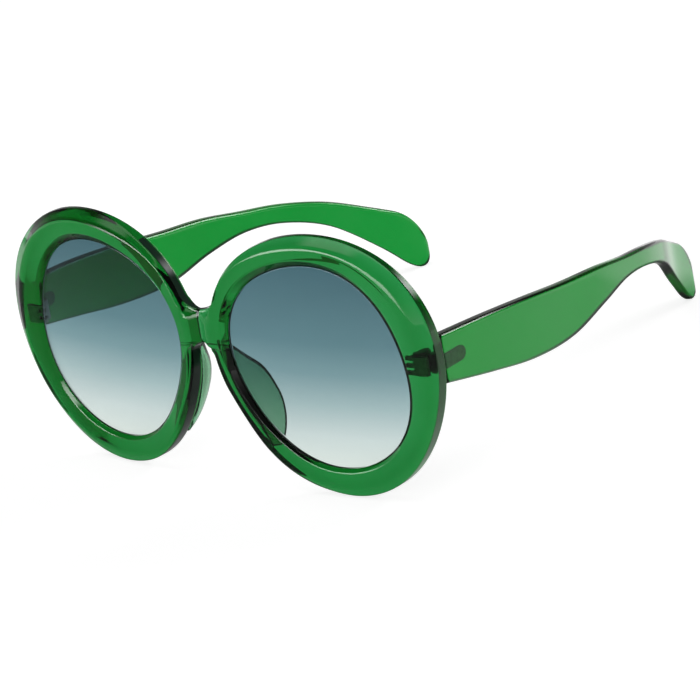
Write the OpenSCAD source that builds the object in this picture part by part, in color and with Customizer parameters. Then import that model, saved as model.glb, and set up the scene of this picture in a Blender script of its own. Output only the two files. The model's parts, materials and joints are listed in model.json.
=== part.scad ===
// Oversized round sunglasses.
// One moulded front with two rims, two gradient lenses, two bonded nose pads,
// two wide temples and two five-barrel screw hinges.
// The front faces -Y and stands on its lower rims, the temples run to +Y and
// rest on their tips, and the wearer's left side is +X. The origin is on the ground
// in the middle of the object's box.
// Lengths are in millimetres.

/* [Lenses] */
// Mean diameter of a lens opening
lens_d = 56; // [52:0.5:60]
// Gap between the two lens openings
lens_gap = 17.5; // [16:0.5:20]
// Thickness of a lens
lens_t = 1.8; // [1.6:0.1:2]
// Height of the bevel that holds a lens in its groove
bevel_h = 0.6; // [0.4:0.05:0.7]
// Clearance between a lens and its groove
lens_clear = 0.12; // [0.08:0.01:0.2]

/* [Front] */
// Mean width of the rim around a lens opening
rim_w = 7.75; // [7:0.25:8.5]
// How far the rim's outline is shifted away from the nose
rim_out = 2; // [1.5:0.25:2.5]
// How far the rim's outline is raised
rim_up = 0.7; // [0.3:0.1:1]
// Thickness of the front at its crest
crest_t = 4.6; // [4.2:0.1:5.2]
// Thickness of the rim at the inner front edge
inner_t = 3; // [2.8:0.1:3.2]
// Width of the bevel from the lens to the inner front edge
inner_w = 1.5; // [1.2:0.1:1.8]
// Depth of plastic behind a lens
back_lip = 0.35; // [0.25:0.05:0.5]
// Least distance from the crest to the outer edge
crest_inset = 0.6; // [0.5:0.05:0.8]
// Rounding of the rim's edges
edge_r = 0.4; // [0.3:0.05:0.5]
// Base curve radius of the front
base_r = 257; // [230:1:300]
// Half width of the flat middle of the front
flat_half = 12; // [10:0.5:14]

/* [Bridge] */
// Height of the bridge at the middle
bridge_h = 9.7; // [8.5:0.1:11]
// Height of the bridge's middle above the lens centres
bridge_up = 8.4; // [7.5:0.1:9]
// Thickness of the bridge
bridge_t = 4.2; // [3.8:0.1:4.4]
// Radius of the saddle on top of the bridge
saddle_r = 11; // [9:0.5:14]

/* [Nose pads] */
// How far a nose pad stands out behind the front
pad_depth = 8.4; // [7:0.1:9.5]
// Height of a nose pad
pad_h = 30; // [26:0.5:32]
// Height of a nose pad's lower end
pad_low = 11.5; // [10:0.5:13]
// Thickness of a nose pad's rear edge
pad_edge = 1.5; // [1.2:0.1:1.8]
// Width of a nose pad's foot on the rim
pad_foot = 4.2; // [3.6:0.1:4.8]
// Glue line under a nose pad
pad_glue = 0.03; // [0.02:0.01:0.05]

/* [Temples] */
// Length of a temple from the front to its tip
temple_l = 138; // [130:0.5:145]
// Height of a temple at the hinge
temple_h = 13.5; // [12.5:0.1:14.5]
// Thickness of a temple at the hinge
temple_t = 3.6; // [3.4:0.1:4]
// Thickness of a temple at its tip
tip_t = 2.9; // [2.6:0.1:3.2]
// Length of a temple's rounded tip
tip_l = 9; // [7:0.5:11]
// Rounding of a temple's edges
temple_r = 0.7; // [0.5:0.05:0.9]
// Distance from the rim's outermost point to a temple's outer face
temple_in = 0.4; // [0.2:0.05:0.8]
// Gap between an open temple and the front
temple_gap = 0.3; // [0.25:0.05:0.5]

/* [Hinges] */
// Height of the hinge
hinge_h = 5.2; // [4.8:0.1:6]
// Height of the hinge above the lens centres
hinge_up = 2.1; // [1.5:0.1:2.6]
// Distance from a temple's outer face to the screw's axis
hinge_in = 6.9; // [6.6:0.1:7.4]
// Radius of the barrels
barrel_r = 1.45; // [1.3:0.05:1.6]
// Radius of the screw's shank
screw_r = 0.6; // [0.5:0.05:0.7]
// Radial clearance of the screw in the barrels
screw_clear = 0.05; // [0.03:0.01:0.08]
// Gap between neighbouring barrels
barrel_gap = 0.06; // [0.04:0.01:0.1]
// Clearance between the barrels and the front leaf's plate
leaf_clear = 0.25; // [0.2:0.05:0.4]
// Thickness of the hinge leaves
leaf_t = 1.2; // [1:0.1:1.4]
// How far the front leaf stands proud of the front
leaf_proud = 0.55; // [0.45:0.05:0.65]
// Width of the front leaf's plate
leaf_w = 5.8; // [5.4:0.1:6.2]
// Length of the tongue that is set in a temple
tongue_l = 9; // [7:0.5:11]
// Height of the tongue
tongue_h = 4; // [3.4:0.1:4.6]
// Thickness of the tongue
tongue_t = 1; // [0.8:0.05:1.2]
// Radius of the screw's head
head_r = 1.15; // [1:0.05:1.3]
// Height of the screw's head
head_h = 0.5; // [0.4:0.05:0.6]
// Clearance around metal that is set in plastic
set_clear = 0.03; // [0.02:0.01:0.05]

/* [Hidden] */

// Steps of the curved surfaces
ring_n = 96;
temple_n = 44;
pad_n = 14;
$fn = 48;

// Outline of a lens opening and of a rim: wave number, cosine share, sine share
lens_wave_shares = [[2, -0.022, -0.033], [3, -0.015, 0.015], [4, -0.002, -0.013]];
rim_wave_shares = [[2, -0.018, -0.009], [3, -0.007, 0.031]];
// Share of a rim's extra width that lies outside its crest, and the outer facet's slope
facet_share = 0.45;
facet_slope_share = 0.85;
// Width at which a rim has its least facet, as a share of the mean rim width
facet_start_share = 0.775;

// Temple: places along it, path sideways, fall of its middle line and half height
station_shares = [0, 0.13, 0.26, 0.39, 0.51, 0.61, 0.71, 0.81, 0.9, 1];
path_shares = [0, 0.0075, 0.006, -0.003, -0.0125, -0.03, -0.054, -0.094, -0.141, -0.179];
rise_shares = [1, 0.923, 0.838, 0.778, 0.784, 0.763, 0.694, 0.548, 0.302, -0.02];
height_shares = [1, 1.185, 1.281, 1.155, 0.785, 0.47, 0.427, 0.565, 0.935, 1.5];
// Fullness of the temple's rounded tip
tip_power = 2;
// A corner rounded by one point keeps this share of its radius off each side
round_share = 0.3;
// Middle line of the temple's front end above the hinge, as a share of its height
lift_share = 0.08;

// Nose pad: places from its top to its lower end, depth and lean of its rear edge
pad_station_shares = [0, 0.1, 0.2, 0.3, 0.4, 0.5, 0.6, 0.7, 0.8, 0.9, 1];
pad_depth_shares = [0, 0.29, 0.55, 0.82, 0.96, 1, 0.97, 0.86, 0.7, 0.44, 0];
pad_lean_shares = [0.16, 0.36, 0.56, 0.74, 0.8, 0.83, 0.86, 0.82, 0.7, 0.52, 0.3];

lens_r = lens_d / 2;
rim_r = lens_r + rim_w;
lens_x = (lens_gap + lens_d) / 2;

function wave(shares, a) =
    [for (k = 0; k < len(shares); k = k + 1)
        shares[k][1] * cos(shares[k][0] * a) + shares[k][2] * sin(shares[k][0] * a)]
    * [for (k = 0; k < len(shares); k = k + 1) 1];
function lens_radius(a) = lens_r * (1 + wave(lens_wave_shares, a));
function rim_radius(a) = rim_r * (1 + wave(rim_wave_shares, a));

// The rims stand on the ground, which sets the height of the lens centres
lens_z = rim_radius(270) - rim_up;
rim_x_max = lens_x + rim_out + rim_radius(0);

// Rear surface of the front: flat in the middle, then the base curve
function base_y(x, z) =
    (pow(max(0, abs(x) - flat_half), 2) + pow(z - lens_z, 2)) / (2 * base_r);

function lens_point(a, w) =
    [lens_x + (lens_radius(a) + w) * cos(a), lens_z + (lens_radius(a) + w) * sin(a)];
function rim_point(a) =
    [lens_x + rim_out + rim_radius(a) * cos(a), lens_z + rim_up + rim_radius(a) * sin(a)];
function on_front(p, t) = [p[0], base_y(p[0], p[1]) - t, p[1]];

// Smooth curve through a table of values
function slope_at(xs, ys, i) =
    let (n = len(xs) - 1, a = max(0, i - 1), b = min(n, i + 1))
    (ys[b] - ys[a]) / (xs[b] - xs[a]);
function segment_of(xs, x) =
    min(len(xs) - 2, max([for (i = 0; i < len(xs); i = i + 1) xs[i] <= x ? i : 0]));
function curve(xs, ys, x) =
    let (i = segment_of(xs, x), h = xs[i + 1] - xs[i], u = (x - xs[i]) / h,
         m0 = slope_at(xs, ys, i) * h, m1 = slope_at(xs, ys, i + 1) * h)
    ys[i] * (2 * pow(u, 3) - 3 * pow(u, 2) + 1) + m0 * (pow(u, 3) - 2 * pow(u, 2) + u)
    + ys[i + 1] * (3 * pow(u, 2) - 2 * pow(u, 3)) + m1 * (pow(u, 3) - pow(u, 2));

// Rim section: places across it, measured outwards from the lens, and thickness there
lens_front = back_lip + lens_t;
groove_mid = back_lip + lens_t / 2;
groove_d = bevel_h + lens_clear;
function rim_section(a) =
    let (p = lens_point(a, 0), q = rim_point(a), w = norm(q - p),
         facet = crest_inset + facet_share * max(0, w - facet_start_share * rim_w),
         edge_t = crest_t - facet_slope_share * facet,
         table = [
             [w - edge_r, 0], [w, edge_r], [w, edge_t - edge_r], [w - edge_r, edge_t],
             [w - facet + edge_r, crest_t - edge_r / 4], [w - facet, crest_t],
             [w - facet - edge_r, crest_t - edge_r / 4], [inner_w, inner_t],
             [0, lens_front + lens_clear], [groove_d, groove_mid], [0, back_lip - lens_clear],
             [0, edge_r * back_lip / (edge_r + back_lip)], [edge_r, 0]
         ])
    [for (row = table) on_front(p + (q - p) * row[0] / w, row[1])];

rim_sections = [for (i = 0; i < ring_n; i = i + 1) rim_section(360 * i / ring_n)];

// Faces of a tube of sections, closed on itself or capped at both ends
function tube_faces(n, m, closed) = concat(
    [for (i = 0; i < (closed ? n : n - 1); i = i + 1)
        for (j = 0; j < m; j = j + 1)
            for (side = [0, 1])
                let (a = i * m + j, b = i * m + (j + 1) % m,
                     c = ((i + 1) % n) * m + (j + 1) % m, d = ((i + 1) % n) * m + j)
                side == 0 ? [a, b, c] : [a, c, d]],
    closed ? [] : [[for (j = 0; j < m; j = j + 1) m - 1 - j],
                   [for (j = 0; j < m; j = j + 1) (n - 1) * m + j]]);
function flat_list(rows) = [for (row = rows) for (p = row) p];

module tube(sections, closed = false) {
    polyhedron(flat_list(sections), tube_faces(len(sections), len(sections[0]), closed),
               convexity = 8);
}

module both_sides() {
    children();
    mirror([1, 0, 0]) children();
}

// Hinge places on the +X side
temple_x = rim_x_max - temple_in;
hinge_z = lens_z + hinge_up;
axis_x = temple_x - hinge_in;
plate_y = base_y(axis_x, hinge_z) + leaf_proud;
axis_y = plate_y + leaf_clear + barrel_r;
plate_x = axis_x - barrel_r - leaf_t;
barrel_n = 5;
barrel_h = (hinge_h - (barrel_n - 1) * barrel_gap) / barrel_n;
hinge_low = hinge_z - hinge_h / 2;
tongue_x = temple_x - temple_t / 2;
overrun = leaf_t;
temple_y = base_y(temple_x, hinge_z) + temple_gap;

module front_body() {
    union() {
        both_sides() tube(rim_sections, closed = true);
        bridge();
    }
}

// Outline of the bridge, with its saddle above and the arch over the nose below
bridge_z = lens_z + bridge_up;
function nasal_x(z) =
    let (s = (z - lens_z - rim_up) / rim_r)
    lens_x + rim_out - rim_radius(180 - asin(s)) * sqrt(1 - s * s);
module bridge() {
    top = bridge_z + bridge_h / 2;
    low = bridge_z - bridge_h / 2;
    arch_r = nasal_x(low);
    half = nasal_x(top) + edge_r;
    rise = saddle_r - sqrt(pow(saddle_r, 2) - pow(half, 2));
    translate([0, max(0, base_y(0, low)), 0]) rotate([90, 0, 0])
        linear_extrude(height = bridge_t)
            difference() {
                polygon([
                    [-half, top + rise], [half, top + rise], [half, top - rise],
                    [arch_r + inner_w, low], [arch_r + inner_w, low - arch_r],
                    [-arch_r - inner_w, low - arch_r], [-arch_r - inner_w, low],
                    [-half, top - rise]
                ]);
                translate([0, top + saddle_r]) circle(saddle_r);
                translate([0, low - arch_r]) circle(arch_r);
            }
}

module leaf_plate(extra = 0) {
    translate([plate_x - extra, plate_y - leaf_t - extra, hinge_low - extra])
        cube([leaf_w + 2 * extra, leaf_t + 2 * extra, hinge_h + 2 * extra]);
}

module front_frame() {
    color([0.05, 0.5, 0.17]) centred() difference() {
        front_body();
        both_sides() {
            leaf_plate(set_clear);
            translate([0, leaf_t, 0]) leaf_plate(set_clear);
        }
    }
}

// A lens: a thin wrapped disc with a bevelled edge
module lens() {
    inner_shares = [0.35, 0.7];
    face_w = -lens_clear;
    rings = concat(
        [for (s = inner_shares) [s, face_w, lens_front]],
        [[1, face_w, lens_front], [1, face_w, groove_mid + lens_t / 4], [1, bevel_h, groove_mid],
         [1, face_w, groove_mid - lens_t / 4], [1, face_w, back_lip]],
        [for (k = [len(inner_shares) - 1:-1:0]) [inner_shares[k], face_w, back_lip]]);
    m = len(rings);
    points = concat(
        [for (i = 0; i < ring_n; i = i + 1)
            let (a = 360 * i / ring_n)
            for (ring = rings)
                let (r = ring[0] * (lens_radius(a) + ring[1] * ring[0]))
                on_front([lens_x + r * cos(a), lens_z + r * sin(a)], ring[2])],
        [on_front([lens_x, lens_z], lens_front), on_front([lens_x, lens_z], back_lip)]);
    front_mid = ring_n * m;
    faces = concat(
        [for (i = 0; i < ring_n; i = i + 1)
            for (j = 0; j < m - 1; j = j + 1)
                for (side = [0, 1])
                    let (a = i * m + j, b = a + 1, d = ((i + 1) % ring_n) * m + j, c = d + 1)
                    side == 0 ? [a, c, b] : [a, d, c]],
        [for (i = 0; i < ring_n; i = i + 1) [front_mid, ((i + 1) % ring_n) * m, i * m]],
        [for (i = 0; i < ring_n; i = i + 1)
            [front_mid + 1, i * m + m - 1, ((i + 1) % ring_n) * m + m - 1]]);
    polyhedron(points, faces, convexity = 4);
}

module lens_left() {
    color([0.35, 0.47, 0.52, 0.7]) centred() lens();
}

module lens_right() {
    color([0.35, 0.47, 0.52, 0.7]) centred() mirror([1, 0, 0]) lens();
}

// A nose pad: a fin on the rear of the rim that leans away from the nose
pad_top = pad_low + pad_h;
function pad_section(s) =
    let (z = pad_top - pad_h * s, x = nasal_x(z), y = base_y(x + pad_foot, z) + pad_glue,
         d = pad_edge / 2 + (pad_depth - pad_edge / 2) * curve(pad_station_shares, pad_depth_shares, s),
         lean = pad_depth * curve(pad_station_shares, pad_lean_shares, s),
         tip = max(x + edge_r + pad_edge / 2, x + lean))
    [
        [x + edge_r, base_y(x + edge_r, z) + pad_glue, z],
        [x + pad_foot, y, z],
        [max(x + pad_foot, tip + pad_edge / 4), y + d / 2, z],
        [tip + pad_edge / 2, y + max(d - pad_edge / 2, d / 2 + pad_glue), z],
        [tip + pad_edge / 4, y + d, z],
        [tip - pad_edge / 4, y + d, z],
        [tip - pad_edge / 2, y + max(d - pad_edge / 2, d / 2 + pad_glue), z],
        [x + (tip - pad_edge / 2 - x) / 2, y + d / 2, z]
    ];

module nose_pad() {
    tube([for (i = 0; i <= pad_n; i = i + 1) pad_section(i / pad_n)]);
}

module nose_pad_left() {
    color([0.3, 0.62, 0.42]) centred() nose_pad();
}

module nose_pad_right() {
    color([0.3, 0.62, 0.42]) centred() mirror([1, 0, 0]) nose_pad();
}

// A temple: a flat bar swept along its path, with a rounded tip
tip_shares = [0.12, 0.3, 0.48, 0.64, 0.78, 0.88, 0.95, 0.985];
body_share = 1 - tip_l / temple_l;
temple_mid_z = hinge_z + temple_h * lift_share;
function path_x(s) = temple_x + temple_l * curve(station_shares, path_shares, s);
function rise(s) = curve(station_shares, rise_shares, s);
function half_height(s) =
    let (e = max(0, (s * temple_l - (temple_l - tip_l)) / tip_l))
    temple_h / 2 * curve(station_shares, height_shares, s)
    * pow(max(0, 1 - pow(e, tip_power)), 1 / tip_power);
// The lowest point of the rounded tip rests on the ground
tip_z = max([for (e = tip_shares)
    let (s = body_share + (1 - body_share) * e)
    (half_height(s) - temple_mid_z * rise(s)) / (1 - rise(s))]);
function path_z(s) = tip_z + (temple_mid_z - tip_z) * rise(s);
function half_thick(s) =
    let (e = max(0, (s * temple_l - (temple_l - tip_t / 2)) / (tip_t / 2)))
    (temple_t + (tip_t - temple_t) * s) / 2 * sqrt(max(0, 1 - e * e));
function temple_section(s) =
    let (step = 1 / temple_n / 4, a = max(0, s - step), b = min(1, s + step),
         run = [path_x(b) - path_x(a), (b - a) * temple_l], n = [run[1], -run[0]] / norm(run),
         h = half_height(s), t = half_thick(s), r = min(temple_r, min(t, h) * (1 - round_share)),
         mid = [path_x(s), temple_y + s * temple_l] - n * (temple_t + (tip_t - temple_t) * s) / 2,
         corner = [[t - r, h], [t - r * round_share, h - r * round_share], [t, h - r]],
         loop = concat(
             [for (k = [2, 1, 0]) [corner[k][0], corner[k][1]]],
             [for (k = [0, 1, 2]) [-corner[k][0], corner[k][1]]],
             [for (k = [2, 1, 0]) [-corner[k][0], -corner[k][1]]],
             [for (k = [0, 1, 2]) [corner[k][0], -corner[k][1]]]))
    [for (c = loop)
        let (x = mid[0] + n[0] * c[0], z = max(0, path_z(s) + c[1]))
        [x, max(mid[1] + n[1] * c[0], base_y(x, z) + temple_gap), z]];
// Stations crowd together in the rounded tip
temple_stations = concat(
    [for (i = 0; i <= temple_n; i = i + 1) body_share * i / temple_n],
    [for (e = tip_shares) body_share + (1 - body_share) * e]);

// Everything is shaped from the rear of the bridge and then set about the middle of the box
front_y = min([for (section = rim_sections) for (p = section) p[1]]);
back_y = max([for (s = temple_stations) for (p = temple_section(s)) p[1]]);
middle_y = (front_y + back_y) / 2;
module centred() {
    translate([0, -middle_y, 0]) children();
}

module temple_bar() {
    tube([for (s = temple_stations) temple_section(s)]);
}

module temple() {
    difference() {
        temple_bar();
        leaf_post(set_clear);
        tongue(set_clear);
    }
}

module temple_left() {
    color([0.05, 0.5, 0.17]) centred() temple();
}

module temple_right() {
    color([0.05, 0.5, 0.17]) centred() mirror([1, 0, 0]) temple();
}

// The front leaf holds barrels 1, 3 and 5, counted from below
module barrels(first) {
    for (k = [first:2:barrel_n - 1])
        translate([axis_x, axis_y, hinge_low + k * (barrel_h + barrel_gap)]) children();
}

module screw_hole() {
    translate([axis_x, axis_y, hinge_low - overrun])
        cylinder(h = hinge_h + 2 * overrun, r = screw_r + screw_clear);
}

module front_leaf() {
    difference() {
        union() {
            leaf_plate();
            barrels(0) {
                cylinder(h = barrel_h, r = barrel_r);
                translate([-barrel_r, -leaf_clear - barrel_r - leaf_t / 2, 0])
                    cube([2 * barrel_r, leaf_clear + barrel_r + leaf_t / 2, barrel_h]);
            }
        }
        screw_hole();
    }
}

module front_hinge_leaf_left() {
    color([0.2, 0.21, 0.2]) centred() front_leaf();
}

module front_hinge_leaf_right() {
    color([0.2, 0.21, 0.2]) centred() mirror([1, 0, 0]) front_leaf();
}

// The temple leaf holds barrels 2 and 4, a post and the tongue set in the temple
post_x = axis_x + barrel_r + leaf_t / 2;
module leaf_post(extra = 0) {
    translate([post_x - extra, axis_y - leaf_t / 2 - extra, hinge_low - extra])
        cube([tongue_x + tongue_t / 2 - post_x + 2 * extra, leaf_t + 2 * extra, hinge_h + 2 * extra]);
}

module tongue(extra = 0) {
    straight = tongue_l - tongue_h / 2;
    translate([tongue_x - tongue_t / 2 - extra, axis_y, hinge_z]) {
        translate([0, 0, -tongue_h / 2 - extra])
            cube([tongue_t + 2 * extra, straight, tongue_h + 2 * extra]);
        translate([0, straight, 0]) rotate([0, 90, 0])
            cylinder(h = tongue_t + 2 * extra, r = tongue_h / 2 + extra);
    }
}

module temple_leaf() {
    difference() {
        union() {
            leaf_post();
            tongue();
            barrels(1) {
                cylinder(h = barrel_h, r = barrel_r);
                translate([0, -leaf_t / 2, 0]) cube([post_x - axis_x + leaf_t / 4, leaf_t, barrel_h]);
            }
        }
        screw_hole();
    }
}

module temple_hinge_leaf_left() {
    color([0.2, 0.21, 0.2]) centred() temple_leaf();
}

module temple_hinge_leaf_right() {
    color([0.2, 0.21, 0.2]) centred() mirror([1, 0, 0]) temple_leaf();
}

// A screw with a slotted head on the top barrel
module hinge_screw() {
    slot_w = head_h / 2;
    translate([axis_x, axis_y, hinge_low]) difference() {
        union() {
            cylinder(h = hinge_h, r = screw_r);
            translate([0, 0, hinge_h]) cylinder(h = head_h, r = head_r);
        }
        translate([-head_r - overrun, -slot_w / 2, hinge_h + head_h / 2])
            cube([2 * head_r + 2 * overrun, slot_w, head_h]);
    }
}

module hinge_screw_left() {
    color([0.45, 0.46, 0.46]) centred() hinge_screw();
}

module hinge_screw_right() {
    color([0.45, 0.46, 0.46]) centred() mirror([1, 0, 0]) hinge_screw();
}

front_frame();
lens_left();
lens_right();
nose_pad_left();
nose_pad_right();
front_hinge_leaf_left();
front_hinge_leaf_right();
temple_left();
temple_right();
temple_hinge_leaf_left();
temple_hinge_leaf_right();
hinge_screw_left();
hinge_screw_right();
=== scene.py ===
import json
import math
import bmesh
import bpy
import numpy as np
from mathutils import Matrix, Vector


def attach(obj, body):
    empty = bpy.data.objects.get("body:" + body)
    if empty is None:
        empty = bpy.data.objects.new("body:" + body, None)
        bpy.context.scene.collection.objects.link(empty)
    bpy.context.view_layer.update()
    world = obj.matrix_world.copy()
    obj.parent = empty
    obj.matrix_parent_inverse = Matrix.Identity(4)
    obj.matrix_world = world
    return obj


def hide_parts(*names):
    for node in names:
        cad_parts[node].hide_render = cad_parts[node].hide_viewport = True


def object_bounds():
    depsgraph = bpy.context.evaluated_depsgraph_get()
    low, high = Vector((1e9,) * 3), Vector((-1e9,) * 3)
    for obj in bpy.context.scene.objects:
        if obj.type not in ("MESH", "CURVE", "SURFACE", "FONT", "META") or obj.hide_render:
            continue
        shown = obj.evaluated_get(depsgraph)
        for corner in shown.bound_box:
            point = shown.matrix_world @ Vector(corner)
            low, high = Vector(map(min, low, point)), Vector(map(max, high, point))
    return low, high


# Oversized sunglasses of green plastic. Lengths are in millimetres, unless a comment or the
# end of a name says metres. The pieces are modelled about the rear of the bridge, with heights
# over the ground, and make_object moves them to the frame's origin. The wearer's left is +X.

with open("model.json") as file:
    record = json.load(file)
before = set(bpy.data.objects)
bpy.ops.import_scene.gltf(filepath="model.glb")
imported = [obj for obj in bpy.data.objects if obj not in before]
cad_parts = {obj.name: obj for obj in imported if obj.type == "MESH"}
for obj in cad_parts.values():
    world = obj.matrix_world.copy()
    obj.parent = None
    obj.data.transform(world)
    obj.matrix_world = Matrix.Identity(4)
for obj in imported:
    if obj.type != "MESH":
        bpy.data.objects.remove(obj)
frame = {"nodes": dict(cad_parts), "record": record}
cad_low, cad_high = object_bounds()
nodes = frame["nodes"]

MM_PER_M = 1000
# Points nearer than this are welded, in a piece and across the middle plane
WELD_M = 2e-7
MIDDLE_WELD_M = 2e-6
# Each side's name, and whether its pieces are mirrored from the left ones
SIDES = (("left", False), ("right", True))

# Sizes that the part's source gives: lenses, rims and the front's curve
LENS_D = 56.0
LENS_GAP = 17.5
LENS_T = 1.8
BEVEL_H = 0.6
LENS_CLEAR = 0.12
RIM_W = 7.75
RIM_OUT = 2.0
RIM_UP = 0.7
BACK_LIP = 0.35
BASE_R = 257.0
FLAT_HALF = 12.0
BRIDGE_H = 9.7
BRIDGE_UP = 8.4
# Harmonics of the outlines: number, cosine share and sine share
LENS_WAVES = [(2, -0.022, -0.033), (3, -0.015, 0.015), (4, -0.002, -0.013)]
RIM_WAVES = [(2, -0.018, -0.009), (3, -0.007, 0.031)]

LENS_R = LENS_D / 2
RIM_R = LENS_R + RIM_W
LENS_X = (LENS_GAP + LENS_D) / 2


def wave(waves, a):
    return sum(c * np.cos(n * a) + s * np.sin(n * a) for n, c, s in waves)


def lens_radius(a):
    return LENS_R * (1 + wave(LENS_WAVES, a))


def rim_radius(a):
    return RIM_R * (1 + wave(RIM_WAVES, a))


LENS_Z = float(rim_radius(math.radians(270))) - RIM_UP
RIM_CX = LENS_X + RIM_OUT
RIM_CZ = LENS_Z + RIM_UP
RIM_X_MAX = RIM_CX + float(rim_radius(0.0))
BRIDGE_TOP = LENS_Z + BRIDGE_UP + BRIDGE_H / 2
BRIDGE_LOW = LENS_Z + BRIDGE_UP - BRIDGE_H / 2


def base_y(x, z):
    """The front's curved rear face."""
    return (np.maximum(0, np.abs(x) - FLAT_HALF) ** 2 + (z - LENS_Z) ** 2) / (2 * BASE_R)


# Sizes that the part's source gives: temples and hinges
TEMPLE_L = 138.0
TEMPLE_H = 13.5
TEMPLE_T = 3.6
TIP_T = 2.9
TIP_L = 9.0
TEMPLE_IN = 0.4
TEMPLE_GAP = 0.3
HINGE_UP = 2.1
HINGE_H = 5.2
HINGE_IN = 6.9
BARREL_R = 1.45
BARREL_GAP = 0.06
BORE_R = 0.65
LEAF_T = 1.2
LEAF_W = 5.8
LEAF_PROUD = 0.55
LEAF_CLEAR = 0.25
TOOTH_L = 2.6
TOOTH_H = 1.1

HINGE_Z = LENS_Z + HINGE_UP
TEMPLE_X = RIM_X_MAX - TEMPLE_IN
TEMPLE_Y = float(base_y(TEMPLE_X, HINGE_Z)) + TEMPLE_GAP
AXIS_X = TEMPLE_X - HINGE_IN
PLATE_X = AXIS_X - BARREL_R - LEAF_T
PLATE_Y = float(base_y(AXIS_X, HINGE_Z)) + LEAF_PROUD
AXIS_Y = PLATE_Y + LEAF_CLEAR + BARREL_R
BARREL_H = (HINGE_H - 4 * BARREL_GAP) / 5
HINGE_LOW = HINGE_Z - HINGE_H / 2

# The frame's origin lies this far behind the rear of the bridge, as the fold's axis shows
FOLD = frame["record"]["behaviour"]["joints"][0]
MIDDLE_Y = AXIS_Y - FOLD["pos_m"][1] * MM_PER_M


def curve(xs, ys, x):
    """The smooth curve through a table that the part's source uses."""
    xs = np.asarray(xs, float)
    ys = np.asarray(ys, float)
    n = len(xs) - 1
    x = np.atleast_1d(np.asarray(x, float))
    i = np.clip(np.searchsorted(xs, x, side="right") - 1, 0, n - 1)
    low = np.maximum(0, np.arange(n + 1) - 1)
    high = np.minimum(n, np.arange(n + 1) + 1)
    slope = (ys[high] - ys[low]) / (xs[high] - xs[low])
    h = xs[i + 1] - xs[i]
    u = (x - xs[i]) / h
    return (ys[i] * (2 * u**3 - 3 * u**2 + 1) + slope[i] * h * (u**3 - 2 * u**2 + u)
            + ys[i + 1] * (3 * u**2 - 2 * u**3) + slope[i + 1] * h * (u**3 - u**2))


def around(table, a):
    """The smooth curve that goes round through pairs of degrees and values."""
    xs = np.array([row[0] for row in table], float)
    ys = np.array([row[1] for row in table], float)
    xs = np.concatenate([xs[-2:] - 360, xs, xs[:2] + 360])
    ys = np.concatenate([ys[-2:], ys, ys[:2]])
    return curve(xs, ys, np.degrees(a) % 360)


def bezier(start, corner, end, u):
    return start * (1 - u) ** 2 + corner * 2 * u * (1 - u) + end * u * u


def make_object(name, points, faces, body, smooth=True, mirror=False, marks=None):
    """An object that rides on a body. The marks are its faces' material numbers."""
    data = bpy.data.meshes.new(name)
    points = np.asarray(points, float).copy()
    points[:, 1] -= MIDDLE_Y
    if mirror:
        points[:, 0] *= -1
        faces = [tuple(reversed(face)) for face in faces]
    data.from_pydata([tuple(p) for p in points / MM_PER_M], [], [tuple(face) for face in faces])
    data.update()
    if marks is not None:
        data.polygons.foreach_set("material_index", marks)
    bm = bmesh.new()
    bm.from_mesh(data)
    bmesh.ops.remove_doubles(bm, verts=bm.verts, dist=WELD_M)
    bmesh.ops.recalc_face_normals(bm, faces=bm.faces)
    bm.to_mesh(data)
    bm.free()
    if smooth:
        data.polygons.foreach_set("use_smooth", [True] * len(data.polygons))
    obj = bpy.data.objects.new(name, data)
    bpy.context.scene.collection.objects.link(obj)
    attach(obj, body)
    return obj


def grid_faces(n, m, closed_n, closed_m, caps=False):
    """Faces of n loops of m points each, closed along either way or with capped ends."""
    faces = []
    for i in range(n if closed_n else n - 1):
        here, after = i * m, (i + 1) % n * m
        for j in range(m if closed_m else m - 1):
            k = (j + 1) % m
            faces.append((here + j, after + j, after + k, here + k))
    if caps:
        faces.append(tuple(range(m)))
        faces.append(tuple(reversed(range((n - 1) * m, n * m))))
    return faces


# The front's section by the angle round the rim in degrees: distance of the crest from the
# lens and its height over the rear face, height and slant of the outer wall, and distance
# and height of the edge beside the lens
CREST_W = [(0, 6.7), (30, 7.0), (60, 6.5), (90, 5.9), (120, 5.7), (136, 5.8), (148, 5.9),
           (165, 5.3), (182, 4.6), (197, 3.7), (206, 3.6), (218, 3.9), (228, 4.7), (238, 5.2),
           (252, 5.2), (270, 5.1), (300, 5.5), (330, 6.1)]
CREST_T = [(0, 4.4), (30, 4.5), (60, 4.35), (90, 4.2), (120, 4.2), (136, 4.3), (148, 4.4),
           (165, 4.5), (182, 4.4), (197, 4.4), (206, 4.4), (218, 4.45), (228, 4.3), (240, 4.2),
           (270, 4.2), (300, 4.3), (330, 4.3)]
EDGE_T = [(0, 3.2), (30, 2.6), (60, 1.7), (90, 1.2), (105, 1.5), (116, 2.2), (126, 3.0),
          (136, 3.1), (150, 2.8), (190, 3.0), (206, 3.2), (218, 3.4), (228, 3.6), (240, 3.7),
          (252, 3.4), (262, 3.0), (275, 3.1), (330, 3.4)]
SLANT = [(0, 0.1), (60, 0.1), (116, 0.15), (140, 0.2), (152, 0.35), (165, 0.8), (190, 1.0),
         (206, 1.1), (218, 0.6), (228, 0.3), (245, 0.2), (270, 0.15), (330, 0.1)]
INNER_W = [(0, 1.6), (30, 1.8), (60, 2.0), (90, 2.1), (120, 2.0), (150, 1.8), (180, 1.5),
           (205, 0.8), (230, 0.65), (260, 0.8), (300, 1.1), (330, 1.4)]
INNER_T = [(0, 3.0), (40, 3.1), (60, 3.4), (78, 3.9), (95, 4.1), (120, 4.15), (150, 4.0),
           (180, 3.7), (205, 3.2), (230, 2.9), (260, 3.0), (300, 3.1), (325, 3.0)]
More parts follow.
